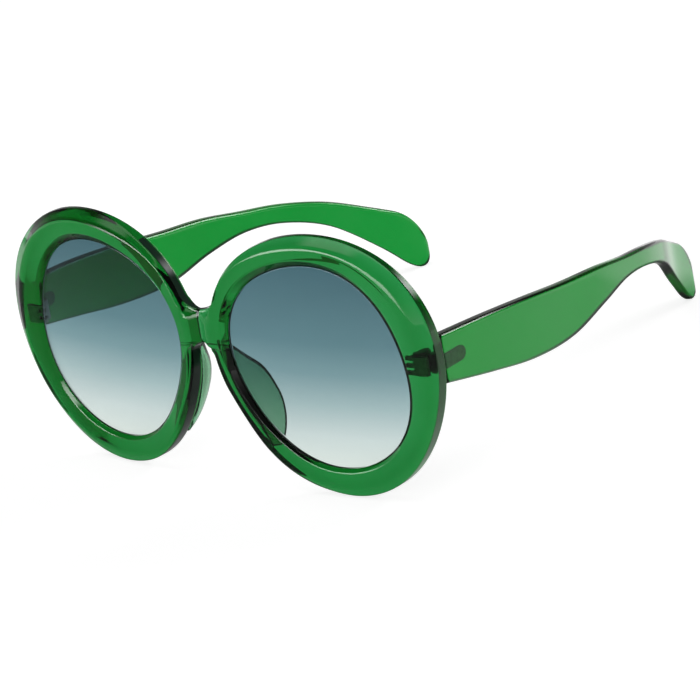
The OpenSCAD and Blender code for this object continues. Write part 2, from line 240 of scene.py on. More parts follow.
# Roundings of the outer wall, the most of its height that the front one takes, and the points
# down the flat part and along each rounding
FILLET = 0.4
FILLET_REAR = 0.35
FILLET_MOST = 0.4
WALL_SHARES = (0.1, 0.5, 0.9)
WALL_STEPS = 6
# The bridge's valley: heights at its middle and edge and the run between them, slant of its
# wall, half width of its floor, how much the floor rises to its sides, and the least share of
# a section line that is taken to run across it
VALLEY_T = 3.0
VALLEY_EDGE_T = 2.2
VALLEY_RUN = 2.6
VALLEY_SLANT = 0.15
VALLEY_HALF = 0.5
VALLEY_RISE = 0.05
VALLEY_STEEPEST = 0.25
# The hollow down the rear of the bridge, and the height over the rear where it ends
HOLLOW_HALF = 4.4
HOLLOW_DEEP = 1.3
HOLLOW_END = 2.4
# The section's corners: height of the one at the lens, how far the crest keeps from the wall
# and the valley from the crest, the shortest run for a slope, how far from the crest to the
# wall the corner between them lies, and the roundings with their points
LIP_T = BACK_LIP + LENS_T + LENS_CLEAR
CREST_CLEAR = 0.4
VALLEY_CLEAR = 0.3
SHORTEST_RUN = 0.5
MID_SHARE = 0.85
SECTION_RADII = (0, 0.3, 1.6, 1.2, 0)
SECTION_STEPS = 6
# Shares of a straight stretch that get a point, and the most of it that a rounding takes
STRAIGHT_SHARES = (0.06, 0.36, 0.64, 0.94)
LARGEST_CUT = 0.48
# The rear lip: distances from the lens and heights, and shares of the way to the edge
LIP_ROUND = 0.1
LIP_ROWS = ((0.0, BACK_LIP + LENS_T / 2), (0.0, BACK_LIP - LENS_CLEAR), (0.02, 0.05),
            (LIP_ROUND, 0.0))
REAR_SHARES = (0.3, 0.6, 0.9, 1.0)
# The search for the circles that join the rims: samples of a rim, radii and halvings
RIM_SAMPLES = 7201
CIRCLE_RADII = (0.5, 30.0)
HALVINGS = 60
# Stations along each stretch of the outline
SADDLE_STATIONS = 22
RIM_STATIONS = 300
ARCH_STATIONS = 18
MIDDLE_STATIONS = 26
# The stretch of the wall in degrees that is coloured near black as painted shade, and the rows of its
# faces that take it
PAINTED_SHADE_FROM = 125.0
PAINTED_SHADE_TO = 250.0
PAINTED_SHADE_ROWS = range(5, 9)


def round_line(points, radii, steps):
    """Rounds the inner corners of many lines at once. The points are (lines, corners, 2)."""
    last = points.shape[1] - 1
    out = [points[:, 0]]
    length = np.linalg.norm(points[:, 1:] - points[:, :-1], axis=2)
    place = points[:, 0]
    for i in range(1, last + 1):
        here = points[:, i]
        before = here
        if i < last:
            most = LARGEST_CUT * np.minimum(length[:, i - 1], length[:, i])
            cut = np.minimum(radii[i], most)[:, None]
            before = here + (points[:, i - 1] - here) / length[:, i - 1, None] * cut
            after = here + (points[:, i + 1] - here) / length[:, i, None] * cut
        out += [place + (before - place) * share for share in STRAIGHT_SHARES]
        if i < last:
            out += [bezier(before, here, after, k / steps) for k in range(steps + 1)]
            place = after
        else:
            out.append(here)
    return np.stack(out, axis=1)


def rim_angle(places):
    return np.arctan2(places[:, 1] - RIM_CZ, places[:, 0] - RIM_CX)


def rim_outline(a):
    r = rim_radius(a)
    return np.stack([RIM_CX + r * np.cos(a), RIM_CZ + r * np.sin(a)], axis=-1)


def rim_inward(a):
    """Directions at right angles to the rim's outline, towards its inside."""
    nudge = 1e-4
    step = rim_outline(a + nudge) - rim_outline(a - nudge)
    inward = np.stack([-step[:, 1], step[:, 0]], axis=1)
    return inward / np.linalg.norm(inward, axis=1)[:, None]


def lens_outline(a):
    r = lens_radius(a)
    return np.stack([LENS_X + r * np.cos(a), LENS_Z + r * np.sin(a)], axis=1)


def tangent_circle(z_mid, up):
    """Radius, rim angle and centre height of the circle that runs into both rims."""
    a = np.radians(np.linspace(90, 270, RIM_SAMPLES))
    rim = rim_outline(a)
    low, high = CIRCLE_RADII
    for _ in range(HALVINGS):
        r = (low + high) / 2
        gap = np.hypot(rim[:, 0], rim[:, 1] - (z_mid + up * r)).min() - r
        if gap > 0:
            low = r
        else:
            high = r
    z = z_mid + up * r
    nearest = int(np.hypot(rim[:, 0], rim[:, 1] - z).argmin())
    return r, float(a[nearest]), z


def circle_end(a, z):
    """The direction from a circle's centre to where it meets the rim."""
    meet = rim_outline(np.array([a]))[0]
    return math.atan2(meet[1] - z, meet[0])


def outer_edge():
    """Outline of the front's +X half, directions into it, and the bridge's share in each."""
    saddle_r, saddle_a, saddle_z = tangent_circle(BRIDGE_TOP, 1)
    arch_r, arch_a, arch_z = tangent_circle(BRIDGE_LOW, -1)
    phi = np.linspace(-math.pi / 2, circle_end(saddle_a, saddle_z), SADDLE_STATIONS)
    saddle_in = np.stack([np.cos(phi), np.sin(phi)], axis=1)
    phi = np.linspace(circle_end(arch_a, arch_z), math.pi / 2, ARCH_STATIONS)
    arch_in = np.stack([np.cos(phi), np.sin(phi)], axis=1)
    a = np.linspace(saddle_a, arch_a - 2 * math.pi, RIM_STATIONS)[1:-1]

    saddle = saddle_in * saddle_r + [0, saddle_z]
    arch = arch_in * arch_r + [0, arch_z]
    edge = np.concatenate([saddle, rim_outline(a), arch])
    inward = np.concatenate([saddle_in, rim_inward(a), arch_in])
    bridge = np.zeros(len(edge))
    bridge[:SADDLE_STATIONS] = np.linspace(1, 0, SADDLE_STATIONS)
    bridge[-ARCH_STATIONS:] = np.linspace(0, 1, ARCH_STATIONS)
    return edge, inward, bridge * bridge * (3 - 2 * bridge)


def valley_t(z):
    """Height of the bridge's front, which falls towards its upper and lower edge."""
    u = np.clip(np.minimum(BRIDGE_TOP - z, z - BRIDGE_LOW) / VALLEY_RUN, 0, 1)
    return VALLEY_EDGE_T + (VALLEY_T - VALLEY_EDGE_T) * (1 - (1 - u) ** 2)


def section_strips(front_end, rear_end, bridge):
    """Lines from the wall over the crest to the lens, and back to the wall along the rear.

    Gives their places and heights, and the heights of the wall's corner and of their ends.
    """
    a = rim_angle(front_end)
    lens = lens_outline(a)
    run = np.linalg.norm(front_end - lens, axis=1)
    way = (front_end - lens) / run[:, None]
    crest_w = np.minimum(around(CREST_W, a), run - CREST_CLEAR)
    crest_t = around(CREST_T, a)
    wall_t = around(EDGE_T, a) * (1 - bridge) + VALLEY_EDGE_T * bridge
    slope = (crest_t - wall_t) / np.maximum(run - crest_w + FILLET, SHORTEST_RUN)
    end_t = (wall_t + slope * FILLET) * (1 - bridge) + valley_t(front_end[:, 1]) * bridge

    mid_w = crest_w * (1 - MID_SHARE) + run * MID_SHARE
    mid_t = crest_t * (1 - MID_SHARE) + end_t * MID_SHARE
    reach = VALLEY_HALF / np.maximum(-way[:, 0], VALLEY_STEEPEST)
    valley_w = np.maximum(run - reach, crest_w + VALLEY_CLEAR)
    mid_w = mid_w * (1 - bridge) + valley_w * bridge
    mid_t = mid_t * (1 - bridge) + (end_t + VALLEY_RISE) * bridge

    zero = np.zeros(len(run))
    corners = [(zero, zero + LIP_T), (around(INNER_W, a), around(INNER_T, a)),
               (crest_w, crest_t), (mid_w, mid_t), (run, end_t)]
    corners = np.stack([np.stack(corner, axis=1) for corner in corners], axis=1)
    front = round_line(corners, SECTION_RADII, SECTION_STEPS)[:, ::-1]
    front_places = lens[:, None] + way[:, None] * front[:, :, 0:1]

    rear_run = np.linalg.norm(rear_end - lens, axis=1)
    rear_way = (rear_end - lens) / rear_run[:, None]
    rear = [(zero + w, zero + t) for w, t in LIP_ROWS]
    rear += [(LIP_ROUND + (rear_run - LIP_ROUND) * share, zero) for share in REAR_SHARES]
    rear_places = np.stack([lens + rear_way * w[:, None] for w, _ in rear], axis=1)
    rear_t = np.stack([t for _, t in rear], axis=1)

    places = np.concatenate([front_places, rear_places], axis=1)
    heights = np.concatenate([front[:, :, 1], rear_t], axis=1)
    return places, heights, wall_t, end_t


def wall_rings(edge, inward, slant, wall_t, end_t):
    """Places and heights of the outer wall: front rounding, slanted face, rear rounding."""
    corner = np.stack([slant, wall_t], axis=1)
    start = np.stack([slant + FILLET, end_t], axis=1)
    down = -corner / np.linalg.norm(corner, axis=1)[:, None]
    after = corner + down * np.minimum(FILLET, wall_t * FILLET_MOST)[:, None]
    foot = np.zeros_like(corner)
    before = foot - down * FILLET_REAR
    last = foot + [FILLET_REAR, 0]
    rings = [bezier(start, corner, after, (k + 1) / WALL_STEPS) for k in range(WALL_STEPS)]
    rings += [after + (before - after) * share for share in WALL_SHARES]
    rings += [bezier(before, foot, last, k / WALL_STEPS) for k in range(WALL_STEPS)]
    rings = np.stack(rings, axis=1)
    places = edge[:, None] + inward[:, None] * rings[:, :, 0:1]
    # The first and last station lie on the middle plane
    places[[0, -1], :, 0] = 0
    return places, rings[:, :, 1]


def lift(places, heights):
    """Points in space from places on the front and heights over its rear face."""
    flat = places.reshape(-1, 2)
    height = heights.reshape(-1)
    near = np.clip(1 - np.abs(flat[:, 0]) / HOLLOW_HALF, 0, 1)
    hollow = HOLLOW_DEEP * near * np.clip(1 - height / HOLLOW_END, 0, 1)
    y = base_y(flat[:, 0], flat[:, 1]) - height - hollow
    return np.stack([flat[:, 0], y, flat[:, 1]], axis=1)


def front_mesh():
    """Points, faces and material numbers of the front's +X half."""
    edge, inward, bridge = outer_edge()
    walls = len(edge)
    slant = around(SLANT, rim_angle(edge)) * (1 - bridge) + VALLEY_SLANT * bridge
    front_end = edge + inward * (slant + FILLET)[:, None]
    rear_end = edge + inward * FILLET_REAR
    # The first and last station lie on the middle plane, and more stations join them there
    front_end[[0, -1], 0] = 0
    rear_end[[0, -1], 0] = 0
    z = np.linspace(front_end[-1, 1], front_end[0, 1], MIDDLE_STATIONS)[1:-1]
    middle = np.stack([np.zeros_like(z), z], axis=1)
    strips, strip_t, wall_t, end_t = section_strips(
        np.concatenate([front_end, middle]), np.concatenate([rear_end, middle]),
        np.concatenate([bridge, np.ones(len(middle))]))
    rings, ring_t = wall_rings(edge, inward, slant, wall_t[:walls], end_t[:walls])
    points = np.concatenate([lift(strips, strip_t), lift(rings, ring_t)])

    count, rows = strips.shape[:2]
    faces = []
    for i in range(count):
        here, after = i * rows, (i + 1) % count * rows
        faces += [(here + j, here + j + 1, after + j + 1, after + j) for j in range(rows - 1)]
    marks = [0] * len(faces)

    def wall_line(i):
        start = count * rows + i * rings.shape[1]
        return [i * rows, *range(start, start + rings.shape[1]), (i + 1) * rows - 1]

    # Wall faces in this stretch take the near-black material, which is painted shade
    turn = np.degrees(rim_angle(edge)) % 360
    dark = (turn > PAINTED_SHADE_FROM) & (turn < PAINTED_SHADE_TO)
    dark[:SADDLE_STATIONS] = True
    dark[-ARCH_STATIONS:] = True
    for i in range(walls - 1):
        here, after = wall_line(i), wall_line(i + 1)
        for j in range(len(here) - 1):
            faces.append((here[j], after[j], after[j + 1], here[j + 1]))
            marks.append(int(dark[i] and j in PAINTED_SHADE_ROWS))
    return points, faces, marks


def weld_mirrored(obj):
    """Adds the -X half to a +X half and welds the two along the middle plane."""
    bm = bmesh.new()
    bm.from_mesh(obj.data)
    whole = bm.verts[:] + bm.edges[:] + bm.faces[:]
    bmesh.ops.mirror(bm, geom=whole, axis="X", merge_dist=MIDDLE_WELD_M)
    bmesh.ops.remove_doubles(bm, verts=bm.verts, dist=WELD_M)
    bmesh.ops.recalc_face_normals(bm, faces=bm.faces)
    bm.to_mesh(obj.data)
    bm.free()
    obj.data.polygons.foreach_set("use_smooth", [True] * len(obj.data.polygons))


# Lenses: stations round the edge, shares of the way out to it, and distances of the rings
# beside it, which keep the faces flat up to a small rounding and a bevel
LENS_STATIONS = 160
LENS_SHARES = (0.15, 0.3, 0.45, 0.6, 0.75, 0.88)
LENS_SUPPORTS = (-1.0, -0.32)
LENS_ROUND = 0.1
BEVEL_HALF = 0.45


def lens_mesh():
    half, side, mid = LENS_T / 2, -LENS_CLEAR, BACK_LIP + LENS_T / 2
    face = [(share, side, half) for share in LENS_SHARES]
    face += [(1, out, half) for out in LENS_SUPPORTS]
    face += [(1, side - LENS_ROUND, half), (1, side, half - LENS_ROUND), (1, side, BEVEL_HALF)]
    rings = [(share, out, mid + t) for share, out, t in face]
    rings += [(1, BEVEL_H, mid)]
    rings += [(share, out, mid - t) for share, out, t in reversed(face)]
    n, m = LENS_STATIONS, len(rings)
    points = []
    for i in range(n):
        a = math.radians(i * 360 / n)
        for share, out, t in rings:
            r = share * (lens_radius(a) + out * share)
            x, z = LENS_X + r * math.cos(a), LENS_Z + r * math.sin(a)
            points.append((x, float(base_y(x, z)) - t, z))
    faces = grid_faces(n, m, True, False)
    centre_y = float(base_y(LENS_X, LENS_Z))
    points.append((LENS_X, centre_y - mid - half, LENS_Z))
    points.append((LENS_X, centre_y - mid + half, LENS_Z))
    for i in range(n):
        here, after = i * m, (i + 1) % n * m
        faces.append((n * m, after, here))
        faces.append((n * m + 1, here + m - 1, after + m - 1))
    return points, faces


# Nose pads: the source's sizes and shapes down the pad, and the fin's curved section as
# shares of the way across and back, with its skin and rounded tip
PAD_DEPTH = 8.4
PAD_H = 30.0
PAD_LOW = 11.5
PAD_EDGE = 1.5
PAD_FOOT = 4.2
PAD_GLUE = 0.03
EDGE_R = 0.4
PAD_STATION = [0, 0.1, 0.2, 0.3, 0.4, 0.5, 0.6, 0.7, 0.8, 0.9, 1]
PAD_DEPTH_SHARE = [0, 0.29, 0.55, 0.82, 0.96, 1, 0.97, 0.86, 0.7, 0.44, 0]
PAD_LEAN_SHARE = [0.16, 0.36, 0.56, 0.74, 0.8, 0.83, 0.86, 0.82, 0.7, 0.52, 0.3]
PAD_SECTION = [(0.0, 0.0), (0.0, 0.22), (0.02, 0.42), (0.10, 0.60), (0.26, 0.76), (0.50, 0.89),
               (0.78, 0.97), (1.0, 1.0)]
PAD_STATIONS = 48
PAD_SKIN = 1.3
PAD_SKIN_MOST = 0.6
PAD_TIP = (0.6, 0.3)


def nasal_x(z):
    """Where the rim's outline beside the nose is at a height."""
    s = (z - LENS_Z - RIM_UP) / RIM_R
    return RIM_CX - float(rim_radius(math.pi - math.asin(s))) * math.sqrt(1 - s * s)


def pad_loop(share):
    """The closed section of the pad at a share of the way down."""
    z = PAD_LOW + PAD_H - PAD_H * share
    x = nasal_x(z)
    y = float(base_y(x + PAD_FOOT, z)) + PAD_GLUE
    reach = PAD_DEPTH - PAD_EDGE / 2
    deep = PAD_EDGE / 2 + reach * float(curve(PAD_STATION, PAD_DEPTH_SHARE, share)[0])
    lean = PAD_DEPTH * float(curve(PAD_STATION, PAD_LEAN_SHARE, share)[0])
    foot = x + EDGE_R
    tip = max(foot + PAD_EDGE / 2, x + lean)
    skin = min(PAD_SKIN, deep * PAD_SKIN_MOST)
    across = [foot + (tip - foot) * out for out, _ in PAD_SECTION]
    back = [deep * down for _, down in PAD_SECTION]
    last = len(PAD_SECTION) - 1
    loop = [(across[k], y + back[k], z) for k in range(last + 1)]
    loop.append((tip + skin * PAD_TIP[0], y + deep - skin * PAD_TIP[1], z))
    for k in range(last, -1, -1):
        low, high = max(0, k - 1), min(last, k + 1)
        run = np.array([across[high] - across[low], back[high] - back[low]])
        run /= np.linalg.norm(run)
        loop.append((across[k] + skin * run[1], y + max(back[k] - skin * run[0], 0.0), z))
    return loop


def pad_mesh():
    loops = [pad_loop(i / PAD_STATIONS) for i in range(PAD_STATIONS + 1)]
    points = [point for loop in loops for point in loop]
    return points, grid_faces(len(loops), len(loops[0]), False, True, caps=True)


# Temples: the source's curves by the share of the length: how far the outer face bends in,
# how much of the hinge's height is left, and the height of the section
STATION = [0, 0.13, 0.26, 0.39, 0.51, 0.61, 0.71, 0.81, 0.9, 1]
PATH = [0, 0.0075, 0.006, -0.003, -0.0125, -0.03, -0.054, -0.094, -0.141, -0.179]
RISE = [1, 0.923, 0.838, 0.778, 0.784, 0.763, 0.694, 0.548, 0.302, -0.02]
HEIGHT = [1, 1.185, 1.281, 1.155, 0.785, 0.47, 0.427, 0.565, 0.935, 1.5]
TIP_POWER = 2.0
TIP_SHARES = [0.12, 0.3, 0.48, 0.64, 0.78, 0.88, 0.95, 0.985]
LIFT_SHARE = 0.08
TEMPLE_MID_Z = HINGE_Z + TEMPLE_H * LIFT_SHARE
BODY_SHARE = 1 - TIP_L / TEMPLE_L
# Stations along the body and shares of the tip, and the step that gives the direction
BODY_STATIONS = 130
TIP_STATIONS = [0.06, 0.12, 0.2, 0.3, 0.4, 0.5, 0.6, 0.69, 0.77, 0.84, 0.9, 0.94, 0.97, 0.985,
                0.994, 0.9985]
PATH_STEP = 1 / 176
# The rounded edges, the thinnest half of a section, and the points round it
TEMPLE_ROUND = 1.1
ROUND_MOST = 0.9
ROUND_STEPS = 6
THINNEST = 0.02
FLAT_SHARES = (0.9, 0.45, 0, -0.45, -0.9)
# The last point keeps this far inside the frame's box
BOX_CLEAR = 0.001


def half_height(s):
    e = max(0.0, (s * TEMPLE_L - (TEMPLE_L - TIP_L)) / TIP_L)
    return (TEMPLE_H / 2 * float(curve(STATION, HEIGHT, s)[0])
            * max(0.0, 1 - e**TIP_POWER) ** (1 / TIP_POWER))


def rise(s):
    return float(curve(STATION, RISE, s)[0])


def path_x(s):
    return TEMPLE_X + TEMPLE_L * float(curve(STATION, PATH, s)[0])


def tip_height():
    """Height of the tip's middle line that sets its lower edge on the ground."""
    stations = [BODY_SHARE + (1 - BODY_SHARE) * e for e in TIP_SHARES]
    return max((half_height(s) - TEMPLE_MID_Z * rise(s)) / (1 - rise(s)) for s in stations)


def temple_section(t, h):
    """A rounded rectangle of half thickness t and half height h."""
    r = min(TEMPLE_ROUND, t * ROUND_MOST, h * ROUND_MOST)
    corner = []
    for k in range(ROUND_STEPS + 1):
        q = k / ROUND_STEPS * math.pi / 2
        corner.append((t - r + r * math.cos(q), h - r + r * math.sin(q)))
    section = corner + [(-x, z) for x, z in reversed(corner)]
    section += [(-t, (h - r) * share) for share in FLAT_SHARES]
    section += [(-x, -z) for x, z in corner] + [(x, -z) for x, z in reversed(corner)]
    section += [(t, (h - r) * share) for share in reversed(FLAT_SHARES)]
    return section


def temple_mesh():
    tip_z = tip_height()
    rear = cad_high[1] * MM_PER_M + MIDDLE_Y - BOX_CLEAR
    stations = [BODY_SHARE * i / BODY_STATIONS for i in range(BODY_STATIONS + 1)]
    stations += [BODY_SHARE + (1 - BODY_SHARE) * e for e in TIP_STATIONS]
    points = []
    for s in stations:
        before, after = max(0, s - PATH_STEP), min(1, s + PATH_STEP)
        run = np.array([path_x(after) - path_x(before), (after - before) * TEMPLE_L])
        out = np.array([run[1], -run[0]]) / np.linalg.norm(run)
        thick = TEMPLE_T + (TIP_T - TEMPLE_T) * s
        e = max(0.0, (s * TEMPLE_L - (TEMPLE_L - TIP_T / 2)) / (TIP_T / 2))
        t = max(thick / 2 * math.sqrt(max(0.0, 1 - e * e)), THINNEST)
        section = temple_section(t, max(half_height(s), THINNEST))
        middle = np.array([path_x(s), TEMPLE_Y + s * TEMPLE_L]) - out * thick / 2
        middle_z = tip_z + (TEMPLE_MID_Z - tip_z) * rise(s)
        for across, up in section:
            x, y = middle + out * across
            z = max(0.0, middle_z + up)
            y = max(y, float(base_y(x, z)) + TEMPLE_GAP)
            points.append((x, min(y, rear), z))
    return points, grid_faces(len(stations), len(section), False, True, caps=True)


# Front hinge leaves: a plate with three teeth and three barrels, each on a foot
BARREL_SIDES = 40
TOOTH_OVERLAP = 0.1
BORE_CLEAR = 0.02
LEAF_BEVEL_M = 0.00007


def block(low, high):
    points = [(x, y, z) for x in (low[0], high[0]) for y in (low[1], high[1])
              for z in (low[2], high[2])]
    return points, [(0, 1, 3, 2), (4, 6, 7, 5), (0, 4, 5, 1), (2, 3, 7, 6), (0, 2, 6, 4),
                    (1, 5, 7, 3)]


def barrel(low, high):
    points = []
    for k in range(BARREL_SIDES):
        q = 2 * math.pi * k / BARREL_SIDES
        for r, z in ((BARREL_R, low), (BARREL_R, high), (BORE_R, high), (BORE_R, low)):
            points.append((AXIS_X + r * math.cos(q), AXIS_Y + r * math.sin(q), z))
    return points, grid_faces(BARREL_SIDES, 4, True, True)


def leaf_mesh():
    front_y = PLATE_Y - LEAF_T
    plate_low = (PLATE_X + TOOTH_L - TOOTH_OVERLAP, front_y, HINGE_LOW)
    shapes = [block(plate_low, (PLATE_X + LEAF_W, PLATE_Y, HINGE_LOW + HINGE_H))]
    for k in range(3):
        z = HINGE_LOW + k * (HINGE_H - TOOTH_H) / 2
        shapes.append(block((PLATE_X, front_y, z), (PLATE_X + TOOTH_L, PLATE_Y, z + TOOTH_H)))
        z = HINGE_LOW + 2 * k * (BARREL_H + BARREL_GAP)
        shapes.append(barrel(z, z + BARREL_H))
        foot_low = (AXIS_X - BARREL_R, PLATE_Y - LEAF_T / 2, z)
        foot_high = (AXIS_X + BARREL_R, AXIS_Y - BORE_R - BORE_CLEAR, z + BARREL_H)
        shapes.append(block(foot_low, foot_high))
    points = []
    faces = []
    for shape_points, shape_faces in shapes:
        faces += [tuple(i + len(points) for i in face) for face in shape_faces]
        points += shape_points
    return points, faces


# Node helpers
def coordinates(tree, kind):
    coord = tree.nodes.new("ShaderNodeTexCoord")
    split = tree.nodes.new("ShaderNodeSeparateXYZ")
    tree.links.new(coord.outputs[kind], split.inputs["Vector"])
    return split.outputs


def maths(tree, operation, first, second):
    node = tree.nodes.new("ShaderNodeMath")
    node.operation = operation
    for socket, value in zip(node.inputs, (first, second)):
        if isinstance(value, (int, float)):
            socket.default_value = value
        else:
            tree.links.new(value, socket)
    return node.outputs[0]


def fade(tree, value, start, end):
    """0 at the start and 1 at the end, with a smooth step between."""
    node = tree.nodes.new("ShaderNodeMapRange")
    node.interpolation_type = "SMOOTHSTEP"
    node.inputs["From Min"].default_value = start
    node.inputs["From Max"].default_value = end
    tree.links.new(value, node.inputs["Value"])
    return node.outputs["Result"]


def ramp(tree, factor, stops):
    node = tree.nodes.new("ShaderNodeValToRGB")
    elements = node.color_ramp.elements
    for element, (place, color) in zip(elements, (stops[0], stops[-1])):
        element.position = place
        element.color = (*color, 1)
    for place, color in stops[1:-1]:
        elements.new(place).color = (*color, 1)
    tree.links.new(factor, node.inputs["Fac"])
    return node.outputs["Color"]


def noise(tree, scale):
    coord = tree.nodes.new("ShaderNodeTexCoord")
    node = tree.nodes.new("ShaderNodeTexNoise")
    node.inputs["Scale"].default_value = scale
    node.inputs["Detail"].default_value = 3.0
    tree.links.new(coord.outputs["Object"], node.inputs["Vector"])
    return node.outputs["Fac"]


# Materials
def material(name):
    mat = bpy.data.materials.new(name)
    mat.use_nodes = True
    tree = mat.node_tree
    return mat, tree, tree.nodes["Principled BSDF"]


def mottled(name, scale, low, high, roughness):
    """A material whose colour varies softly between two."""
    mat, tree, shader = material(name)
    color = ramp(tree, noise(tree, scale), [(0.3, low), (0.7, high)])
    tree.links.new(color, shader.inputs["Base Color"])
    shader.inputs["Roughness"].default_value = roughness
    return mat, tree, shader


PLASTIC_IOR = 1.49


def plastic(name, low, high, inside, density):
    """Clear plastic, tinted at its faces and, the more the thicker it is, inside."""
    mat, tree, shader = mottled(name, 60.0, low, high, 0.0)
    shader.inputs["IOR"].default_value = PLASTIC_IOR
    shader.inputs["Transmission Weight"].default_value = 1.0
    volume = tree.nodes.new("ShaderNodeVolumeAbsorption")
    volume.inputs["Color"].default_value = (*inside, 1)
    volume.inputs["Density"].default_value = density
    tree.links.new(volume.outputs["Volume"], tree.nodes["Material Output"].inputs["Volume"])
    return mat


def painted_shade_plastic():
    """The plastic's sides beside the pads and round the bridge, which show nearly black: painted
    shade.
    """
    mat, _, shader = mottled("painted_shade_edge_plastic", 80.0, (0.010, 0.030, 0.018), (0.018, 0.048, 0.028),
                             0.08)
    shader.inputs["IOR"].default_value = PLASTIC_IOR
    return mat


def metal(name, scale, low, high, roughness, grain=None):
    """Bare metal, with a fine grain where one is given."""
    mat, tree, shader = mottled(name, scale, low, high, roughness)
    shader.inputs["Metallic"].default_value = 1.0
    if grain:
        node = tree.nodes.new("ShaderNodeBump")
        node.inputs["Strength"].default_value = 0.2
        node.inputs["Distance"].default_value = 0.00005
        tree.links.new(noise(tree, grain), node.inputs["Height"])
        tree.links.new(node.outputs["Normal"], shader.inputs["Normal"])
    return mat


# The lens's tint by height over the ground, less what its faces reflect and keep back
GRADIENT = [(8, (0.68, 0.75, 0.71)), (17, (0.56, 0.65, 0.64)), (26, (0.355, 0.475, 0.485)),
            (35, (0.195, 0.315, 0.34)), (44, (0.12, 0.22, 0.248)), (65, (0.07, 0.138, 0.165))]
REFLECTED = 0.02
PASSED = 0.92


def gradient_lens():
    mat, tree, shader = material("gradient_lens")
    low, high = GRADIENT[0][0], GRADIENT[-1][0]
    height = tree.nodes.new("ShaderNodeMapRange")
    height.inputs["From Min"].default_value = low / MM_PER_M
    height.inputs["From Max"].default_value = high / MM_PER_M
    tree.links.new(coordinates(tree, "Object")["Z"], height.inputs["Value"])
    stops = []
    for z, color in GRADIENT:
        stops.append(((z - low) / (high - low), tuple((v - REFLECTED) / PASSED for v in color)))
    tree.links.new(ramp(tree, height.outputs["Result"], stops), shader.inputs["Base Color"])
    shader.inputs["Transmission Weight"].default_value = 1.0
    shader.inputs["Roughness"].default_value = 0.0
    shader.inputs["IOR"].default_value = 1.5
    return mat


temple_green = plastic("green_plastic", (0.016, 0.355, 0.073), (0.022, 0.38, 0.083),
                       (0.2, 0.8, 0.5), 500.0)
front_green = plastic("front_plastic", (0.055, 0.32, 0.114), (0.07, 0.36, 0.134),
                      (0.2, 0.8, 0.5), 500.0)
pad_green = plastic("pad_plastic", (0.24, 0.42, 0.29), (0.28, 0.46, 0.33),
                    (0.20, 0.75, 0.45), 300.0)
# Near-black colour for the front's wall faces: painted shade
painted_shade_wall = painted_shade_plastic()
# The lens's ground edge inside the rim, coloured near black as painted shade
painted_shade_lens_edge = mottled("painted_shade_lens_edge", 1500.0, (0.010, 0.020, 0.015), (0.02, 0.035, 0.028), 0.6)[0]
lens_tint = gradient_lens()
hinge_metal = metal("hinge_metal", 900.0, (0.27, 0.28, 0.26), (0.40, 0.41, 0.38), 0.35, 2500.0)
screw_metal = metal("screw_metal", 1200.0, (0.30, 0.30, 0.29), (0.45, 0.45, 0.43), 0.25)

# The front
points, faces, marks = front_mesh()
front = make_object("front_moulding", points, faces, "front", marks=marks)
weld_mirrored(front)
front.data.materials.append(front_green)
# The second material paints the dark wall faces near black, as painted shade
front.data.materials.append(painted_shade_wall)
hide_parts("front_frame")

# The lenses, with their ground edge outside the rim's opening coloured near black as painted shade
points, faces = lens_mesh()
for side, mirror in SIDES:
    obj = make_object("gradient_lens_" + side, points, faces, "front",
                      mirror=mirror)
    obj.data.materials.append(lens_tint)
    obj.data.materials.append(painted_shade_lens_edge)
    # Faces beyond the opening take the near-black painted shade
    for face in obj.data.polygons:
        x = abs(face.center.x) * MM_PER_M - LENS_X
        z = face.center.z * MM_PER_M - LENS_Z
        if math.hypot(x, z) > float(lens_radius(math.atan2(z, x))):
            face.material_index = 1
    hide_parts("lens_" + side)

# The nose pads
points, faces = pad_mesh()
for side, mirror in SIDES:
    obj = make_object("bonded_pad_" + side, points, faces, "front", mirror=mirror)
    rounded = obj.modifiers.new("smooth", "SUBSURF")
    rounded.levels = 1
    rounded.render_levels = 1
    obj.data.materials.append(pad_green)
    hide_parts("nose_pad_" + side)

# The temples
points, faces = temple_mesh()
for side, mirror in SIDES:
    obj = make_object("temple_bar_" + side, points, faces, side + "_temple",
                      mirror=mirror)
    obj.data.materials.append(temple_green)
    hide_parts("temple_" + side)

# The hinges: new front leaves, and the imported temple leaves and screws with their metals
points, faces = leaf_mesh()
for side, mirror in SIDES:
    obj = make_object("toothed_leaf_" + side, points, faces, "front",
                      smooth=False, mirror=mirror)
    edges = obj.modifiers.new("edges", "BEVEL")
    edges.width = LEAF_BEVEL_M
    edges.segments = 2
    edges.limit_method = "ANGLE"
    obj.data.materials.append(hinge_metal)
    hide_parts("front_hinge_leaf_" + side)
    for name, finish in (("temple_hinge_leaf_", hinge_metal), ("hinge_screw_", screw_metal)):
        nodes[name + side].data.materials.clear()
        nodes[name + side].data.materials.append(finish)

# The camera of the photograph, with its place in metres
CAMERA_AT = (0.8742, -0.966383, 0.5077)
CAMERA_RIGHT = (0.7669, 0.6194, -0.1679)
CAMERA_UP = (-0.1053, 0.3796, 0.9192)
FOCAL_LENGTH = 261.1
SENSOR_W = 36

camera_data = bpy.data.cameras.new("camera")
camera_data.sensor_width = SENSOR_W
camera_data.lens = FOCAL_LENGTH
camera_data.clip_start = 0.01
camera_data.clip_end = 20
camera = bpy.data.objects.new("camera", camera_data)
bpy.context.scene.collection.objects.link(camera)
right = Vector(CAMERA_RIGHT).normalized()
back = right.cross(Vector(CAMERA_UP)).normalized()
up = back.cross(right).normalized()
turned = Matrix((right, up, back)).transposed().to_4x4()
camera.matrix_world = Matrix.Translation(CAMERA_AT) @ turned
bpy.context.scene.camera = camera

